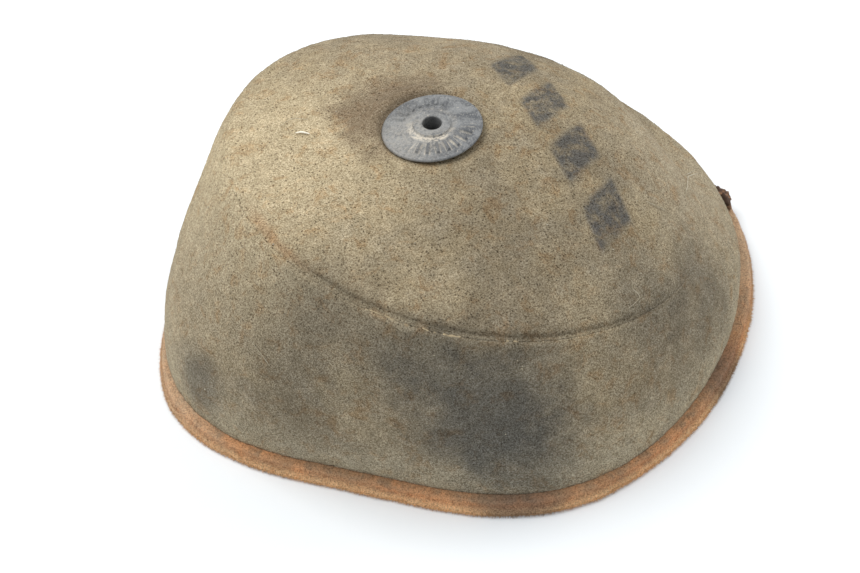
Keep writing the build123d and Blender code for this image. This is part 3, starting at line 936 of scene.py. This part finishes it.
def worn_washer_plastic(name):
    """Black plastic gone grey, with cream dust packed round the land and beside the relief strokes, and
    painted shade in the bolt hole.
    """
    s = Shader(name)
    x, y, _ = s.xyz()
    x = s.math("SUBTRACT", x, BOLT_X * MM)
    radius = s.math("SQRT", s.math("ADD", s.math("MULTIPLY", x, x), s.math("MULTIPLY", y, y)))
    cloud = s.noise(0.006, 5.0, 0.66, 0.6)
    fine = s.noise(0.0013, 4.0, 0.7, 0.5)
    speck = s.noise(0.0006, 3.0, 0.7, 0.2, (0.4, 0.9, 0.2))
    colour = s.mix(s.ramp(cloud, 0.38, 0.64), (0.088, 0.092, 0.099), (0.215, 0.218, 0.220))
    haze = s.spot((BOLT_X - 9.0, -2.0, 88.0), 11.0, 0.7, cloud)
    haze = s.times(haze, s.ramp(fine, 0.34, 0.62, 0.15, 0.75))
    colour = s.mix(haze, colour, (0.37, 0.345, 0.305))
    colour = s.mix(s.ramp(speck, 0.48, 0.66, 0.0, 0.60), colour, (0.33, 0.322, 0.305))
    colour = s.mix(s.ramp(speck, 0.32, 0.46, 0.40, 0.0), colour, (0.060, 0.061, 0.064))
    ring = s.math("ABSOLUTE", s.math("SUBTRACT", radius, 7.5 * MM))
    ring = s.ramp(ring, 0.4 * MM, 1.7 * MM, 1.0, 0.0)
    lower_left = s.spot((BOLT_X - 4.5, -5.5, 88.5), 7.5, 0.6, cloud)
    packed = s.times(ring, s.math("ADD", lower_left, 0.12, True), s.ramp(fine, 0.38, 0.56))
    colour = s.mix(packed, colour, (0.60, 0.535, 0.44))
    turn = s.math("MULTIPLY", s.math("ARCTAN2", y, x), 1 / STROKE_STEP)
    off = s.math("ABSOLUTE", s.math("SUBTRACT", s.math("FRACT", s.math("ADD", turn, 0.5)), 0.5))
    beside = s.math("MULTIPLY", off, s.math("MULTIPLY", radius, STROKE_STEP))
    in_reach = s.math("ABSOLUTE", s.math("SUBTRACT", radius, (STROKE_FROM + STROKE_TO) / 2 * MM))
    edge = s.times(
        s.ramp(beside, 0.45 * MM, 0.7 * MM),
        s.ramp(beside, 0.9 * MM, 1.3 * MM, 1.0, 0.0),
        s.ramp(in_reach, 2.0 * MM, 2.9 * MM, 1.0, 0.0),
        s.ramp(y, -8.0 * MM, -4.5 * MM, 0.85, 0.0),
        s.ramp(cloud, 0.42, 0.58, 0.35, 1.0),
        s.ramp(fine, 0.34, 0.54),
    )
    colour = s.mix(edge, colour, (0.54, 0.48, 0.39))
    ridge = s.times(
        s.ramp(beside, 0.30 * MM, 0.60 * MM, 0.45, 0.0),
        s.ramp(in_reach, 1.9 * MM, 2.4 * MM, 1.0, 0.0),
        s.ramp(y, -8.0 * MM, -4.5 * MM, 1.0, 0.0),
    )
    colour = s.mix(ridge, colour, (0.060, 0.064, 0.072))
    flecks = s.ramp(s.noise(0.0011, 3.0, 0.6, 0.0, (0.5, 0.2, 0.9)), 0.66, 0.72, 0.0, 0.7)
    colour = s.mix(flecks, colour, (0.55, 0.50, 0.42))
    # Painted shade: the bolt hole's wall and lip are darkened nearly to black.
    bore_painted_shade = s.ramp(radius, BOLT_HOLE_R * MM, (BOLT_HOLE_R + 0.4) * MM, 0.40, 0.0)
    colour = s.mix(bore_painted_shade, colour, (0.012, 0.013, 0.014))
    rough = s.ramp(cloud, 0.3, 0.7, 0.38, 0.60)
    return s.done(colour, rough, s.bump(fine, 0.30, 0.12), 0.40)


def moulded_nylon(name):
    """Black nylon with patchy dust."""
    s = Shader(name)
    colour = s.mix(s.ramp(s.noise(0.02, 4.0), 0.35, 0.7), (0.016, 0.016, 0.018), (0.034, 0.033, 0.032))
    dust = s.ramp(s.noise(0.004, 5.0, 0.65), 0.50, 0.72, 0, 0.35)
    colour = s.mix(dust, colour, (0.16, 0.135, 0.10))
    rough = s.ramp(s.noise(0.003, 3.0), 0.3, 0.7, 0.36, 0.55)
    return s.done(colour, rough, s.bump(s.noise(0.0006, 3.0), 0.15, 0.08), 0.45)


def collar_steel(name):
    """Plated steel with a little rust."""
    s = Shader(name)
    colour = s.mix(s.ramp(s.noise(0.002, 4.0), 0.3, 0.7), (0.42, 0.42, 0.40), (0.62, 0.61, 0.58))
    colour = s.mix(s.ramp(s.noise(0.005, 3.0), 0.55, 0.75, 0, 0.4), colour, (0.25, 0.17, 0.10))
    return s.done(colour, s.ramp(s.noise(0.001, 3.0), 0.3, 0.7, 0.28, 0.45), None, 0.5, Metallic=1.0)


def pale_lint(name):
    """Dull pale fibre, and one bright sliver at the tall end of the crown."""
    s = Shader(name)
    colour = s.mix(s.ramp(s.noise(0.003, 2.0), 0.35, 0.7), (0.36, 0.31, 0.22), (0.56, 0.50, 0.39))
    colour = s.mix(s.spot((-46.0, 19.5, 84.4), 6.0, 0.2, s.noise(0.003)), colour, (0.95, 0.89, 0.76))
    return s.done(colour, 0.7, None, 0.2)


def soaked_foam(name):
    """Foam dark with old oil and dirt."""
    s = Shader(name)
    colour = s.mix(s.ramp(s.noise(0.003, 4.0, 0.6), 0.45, 0.66), (0.085, 0.055, 0.042), (0.36, 0.20, 0.115))
    return s.done(colour, 0.9, s.bump(s.noise(0.0006, 3.0), 0.6, 0.3), 0.1)


def wear(piece, material):
    """Gives a piece one material."""
    piece.data.materials.clear()
    piece.data.materials.append(material)


def dress_cad(material, *nodes):
    """Gives carried-over CAD nodes a better material."""
    for node in nodes:
        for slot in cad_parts[node].material_slots:
            slot.material = material


# --- put it together ------------------------------------------------------------------------------
coarse = coarse_foam("dusty_coarse_foam")
fine = clean_fine_foam("clean_side_fine_foam")
rim_foam = dirty_rim_foam("dirty_rim_foam")
glue = dried_glue("dried_foam_glue")
washer_plastic = worn_washer_plastic("worn_washer_plastic")
nylon = moulded_nylon("moulded_black_nylon")
lint = pale_lint("pale_lint")

outer_wall, outer_crown = build_outer_foam()
inner_wall, inner_crown = build_inner_foam()
rim = build_rim()
shoulder_glue = build_shoulder_glue()
end_glue = build_wall_end_glue()
washer = build_washer()
struts = build_stubble()
fuzz, tufts = build_rim_fuzz()
fibres = build_lint()
specks = build_specks()
tag = build_torn_lump()

REPLACED = (
    (outer_wall, coarse, "coarse_foam", "outer_foam_wall"),
    (outer_crown, coarse, "coarse_foam", "outer_foam_crown"),
    (inner_wall, fine, "fine_foam", "inner_foam_wall"),
    (inner_crown, fine, "fine_foam", "inner_foam_crown"),
    (rim, rim_foam, "rim_foam", "sealing_rim"),
    (shoulder_glue, glue, "foam_glue", "crown_glue_seam"),
    (end_glue, glue, "foam_glue", "wall_end_glue_seam"),
    (washer, washer_plastic, "washer_plastic", "outer_washer"),
)
for piece, material, slot, node in REPLACED:
    wear(piece, material)
    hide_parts(node)
ADDED = (
    (struts, coarse, "coarse_foam"),
    (fuzz, rim_foam, "rim_foam"),
    (tufts, rim_foam, "rim_foam"),
    (fibres, lint, "foam_glue"),
    (specks, lint, "foam_glue"),
    (tag, soaked_foam("soaked_foam"), "rim_foam"),
)
for piece, material, slot in ADDED:
    wear(piece, material)

dress_cad(glue, "rim_glue_seam")
dress_cad(washer_plastic, "inner_washer")
dress_cad(collar_steel("zinc_steel"), "bolt_collar")
dress_cad(
    nylon, "cage_base_ring", "cage_wall_ribs", "cage_low_hoop", "cage_high_hoop", "cage_shoulder_hoop",
    "cage_crown_ribs", "cage_crown_ring", "cage_boss",
)


# --- floor, light and camera ----------------------------------------------------------------------
def white_floor():
    """A plain pale floor, just under the rim so that the two never share a plane."""
    bpy.ops.mesh.primitive_plane_add(size=6)
    floor = bpy.context.object
    floor.name = "floor"
    floor.location.z = -0.3 * MM
    s = Shader("pale_floor")
    colour = s.mix(s.ramp(s.noise(0.3, 2.0), 0.3, 0.7), (0.90, 0.93, 0.96), (0.92, 0.945, 0.97))
    wear(floor, s.done(colour, 0.6, None, 0.2))


def soft_light(name, place, target, size, power, colour):
    """A rectangular lamp at a place, turned to a target, in metres."""
    light = bpy.data.lights.new(name, "AREA")
    light.shape = "RECTANGLE"
    light.size, light.size_y = size
    light.energy = power
    light.color = colour
    lamp = bpy.data.objects.new(name, light)
    bpy.context.collection.objects.link(lamp)
    direction = np.array(target) - np.array(place)
    z = -direction / np.linalg.norm(direction)
    x = np.cross([0, 0, 1.0], z)
    x = x / np.linalg.norm(x) if np.linalg.norm(x) > 1e-6 else np.array([1.0, 0, 0])
    y = np.cross(z, x)
    lamp.matrix_world = Matrix([[x[i], y[i], z[i], place[i]] for i in range(3)] + [[0, 0, 0, 1]])


def studio():
    """A pale surround, a soft key from the back left and a weaker lamp on the right."""
    world = bpy.data.worlds.new("studio")
    world.use_nodes = True
    background = world.node_tree.nodes["Background"]
    background.inputs["Color"].default_value = (0.93, 0.97, 1.0, 1)
    background.inputs["Strength"].default_value = 0.75
    bpy.context.scene.world = world
    soft_light("key", (-0.55, 0.55, 1.25), (0, 0, 0.05), (0.9, 0.9), 13.0, (1.0, 0.985, 0.95))
    soft_light("right", (0.9, 0.15, 0.8), (0, 0, 0.05), (0.7, 0.7), 4.0, (1.0, 0.98, 0.95))
    bpy.context.scene.view_settings.view_transform = "Standard"


def camera():
    """Front left of the filter and well above it, with a slight roll."""
    turn, pitch, roll = math.radians(21.25), math.radians(47.67), math.radians(2.88)
    ahead = np.array([math.cos(pitch) * math.sin(turn), math.cos(pitch) * math.cos(turn), -math.sin(pitch)])
    right = np.array([math.cos(turn), -math.sin(turn), 0])
    up = np.cross(right, ahead)
    right, up = right * math.cos(roll) - up * math.sin(roll), right * math.sin(roll) + up * math.cos(roll)
    aim, distance = np.array([BOLT_X - 0.28, 8.6, 0]) * MM, 0.6363
    place = aim - ahead * distance
    data = bpy.data.cameras.new("camera")
    data.sensor_width = 36
    data.lens = 71.1628
    data.clip_start = 0.01
    eye = bpy.data.objects.new("camera", data)
    bpy.context.collection.objects.link(eye)
    eye.matrix_world = Matrix([[right[i], up[i], -ahead[i], place[i]] for i in range(3)] + [[0, 0, 0, 1]])
    bpy.context.scene.camera = eye


white_floor()
studio()
camera()
